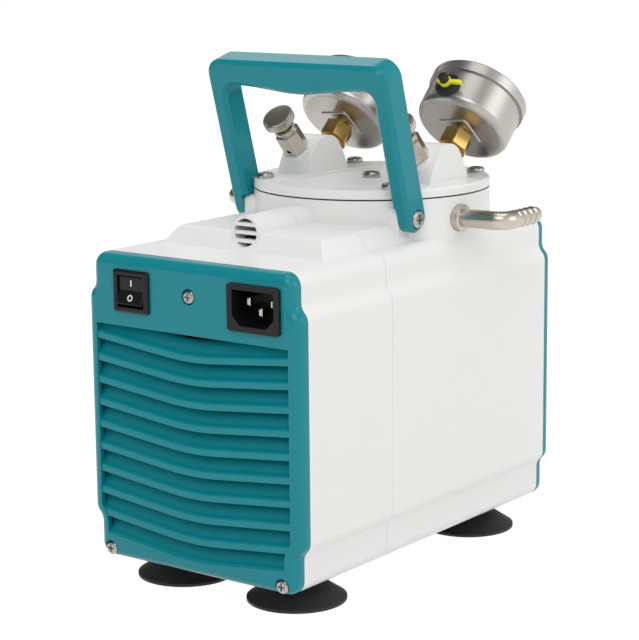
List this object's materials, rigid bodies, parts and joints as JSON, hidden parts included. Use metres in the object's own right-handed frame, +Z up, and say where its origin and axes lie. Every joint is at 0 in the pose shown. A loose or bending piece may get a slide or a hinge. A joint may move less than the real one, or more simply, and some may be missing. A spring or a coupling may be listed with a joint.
{
  "type": "diaphragm vacuum pump",
  "caption": "Oil-free bench diaphragm vacuum pump: boxy casing with louvred end covers, carrying handle, round pump head with needle regulators and dial gauges, on suction feet.",
  "frame": {"origin": "on the floor under the middle of the casing", "axes": "+Z up, +X to the right as seen from the switch side, the front cover with the switch and the mains inlet faces -Y"},
  "size_m": [0.1824, 0.225, 0.2573],
  "materials": {
    "white_coat": "smooth white powder coat",
    "teal_plastic": "satin teal moulding",
    "black_plastic": "black moulding",
    "rubber": "black elastomer",
    "nickel": "nickel plated brass",
    "brass": "turned brass",
    "stainless": "satin stainless",
    "screw_steel": "bright zinc",
    "glass": "clear",
    "dial_white": "printed dial",
    "pointer_black": "black hand",
    "lever_yellow": "yellow moulding",
    "cast_aluminium": "cast and machined",
    "core_steel": "stacked steel sheets",
    "copper_wire": "enamelled copper wire",
    "fan_plastic": "grey moulding"
  },
  "bodies": {
    "casing": {"front_housing": "white_coat", "rear_housing": "white_coat", "front_cover": "teal_plastic", "rear_cover": "teal_plastic", "cover_screws": "screw_steel", "head_plate": "white_coat", "head_gasket": "rubber", "head_screws": "screw_steel", "valve_block": "cast_aluminium", "valve_flaps": "rubber", "diaphragm": "rubber", "handle": "teal_plastic", "handle_screws": "screw_steel", "left_elbow": "nickel", "right_elbow": "nickel", "hose_collars": "nickel", "suction_feet": "rubber", "foot_studs": "screw_steel", "switch_frame": "black_plastic", "inlet_socket": "black_plastic", "inlet_pins": "nickel", "stator_core": "core_steel", "stator_windings": "copper_wire", "motor_front_bracket": "cast_aluminium", "motor_rear_bracket": "cast_aluminium", "motor_bolts": "screw_steel", "motor_bearings": "screw_steel", "bracket_screws": "screw_steel", "capacitor": "cast_aluminium", "capacitor_clip": "fan_plastic", "regulator_bodies": "nickel", "gauge_sockets": "brass", "gauge_cases": "stainless", "gauge_bezels": "stainless", "gauge_windows": "glass", "gauge_dials": "dial_white", "gauge_movements": "brass", "vent_plugs": "rubber"},
    "rotor": {"rotor_shaft": "screw_steel", "rotor_core": "core_steel", "cooling_fan": "fan_plastic", "eccentric": "core_steel"},
    "rod": {"connecting_rod": "cast_aluminium", "rod_bearing": "screw_steel", "diaphragm_clamp": "cast_aluminium"},
    "rocker": {"switch_rocker": "black_plastic"},
    "stem_left": {"regulator_stem_left": "nickel"},
    "stem_right": {"regulator_stem_right": "nickel"},
    "knob_left": {"regulator_knob_left": "nickel"},
    "knob_right": {"regulator_knob_right": "nickel"},
    "pointer_left": {"gauge_pointer_left": "pointer_black"},
    "pointer_right": {"gauge_pointer_right": "pointer_black"},
    "lever_left": {"vent_lever_left": "lever_yellow"},
    "lever_right": {"vent_lever_right": "lever_yellow"}
  },
  "joints": [
    {"name": "rotor_spin", "type": "hinge", "parent": "casing", "child": "rotor", "pos_m": [0, 0.0372, 0.088], "axis": [0, 1, 0], "continuous": true},
    {"name": "crank_pin", "type": "hinge", "parent": "rotor", "child": "rod", "pos_m": [0, 0.0372, 0.085], "axis": [0, 1, 0], "continuous": true, "deforming": ["diaphragm"]},
    {"name": "switch_rock", "type": "hinge", "parent": "casing", "child": "rocker", "pos_m": [-0.035, -0.1085, 0.1492], "axis": [1, 0, 0], "range_deg": [0, 16]},
    {"name": "stem_travel_left", "type": "slide", "parent": "casing", "child": "stem_left", "axis": [0, -0.6691, 0.7431], "range_m": [0, 0.00225]},
    {"name": "knob_turn_left", "type": "hinge", "parent": "stem_left", "child": "knob_left", "pos_m": [-0.038, 0.0231, 0.2048], "axis": [0, -0.6691, 0.7431], "range_deg": [0, 1080]},
    {"name": "pointer_sweep_left", "type": "hinge", "parent": "casing", "child": "pointer_left", "pos_m": [-0.038, 0.0635, 0.2146], "axis": [0, 0.7071, 0.7071], "range_deg": [0, 270]},
    {"name": "vent_lever_turn_left", "type": "hinge", "parent": "casing", "child": "lever_left", "pos_m": [-0.038, 0.06944, 0.22054], "axis": [0, -0.7071, 0.7071], "range_deg": [0, 90]},
    {"name": "stem_travel_right", "type": "slide", "parent": "casing", "child": "stem_right", "axis": [0, -0.6691, 0.7431], "range_m": [0, 0.00225]},
    {"name": "knob_turn_right", "type": "hinge", "parent": "stem_right", "child": "knob_right", "pos_m": [0.038, 0.0231, 0.2048], "axis": [0, -0.6691, 0.7431], "range_deg": [0, 1080]},
    {"name": "pointer_sweep_right", "type": "hinge", "parent": "casing", "child": "pointer_right", "pos_m": [0.038, 0.0635, 0.2146], "axis": [0, -0.7071, -0.7071], "range_deg": [0, 270]},
    {"name": "vent_lever_turn_right", "type": "hinge", "parent": "casing", "child": "lever_right", "pos_m": [0.038, 0.06944, 0.22054], "axis": [0, -0.7071, 0.7071], "range_deg": [0, 90]}
  ],
  "couplings": [
    {"joint": "crank_pin", "follows": "rotor_spin", "ratio": -1},
    {"joint": "stem_travel_left", "follows": "knob_turn_left", "m_per_rad": 0.00011937},
    {"joint": "stem_travel_right", "follows": "knob_turn_right", "m_per_rad": 0.00011937}
  ]
}
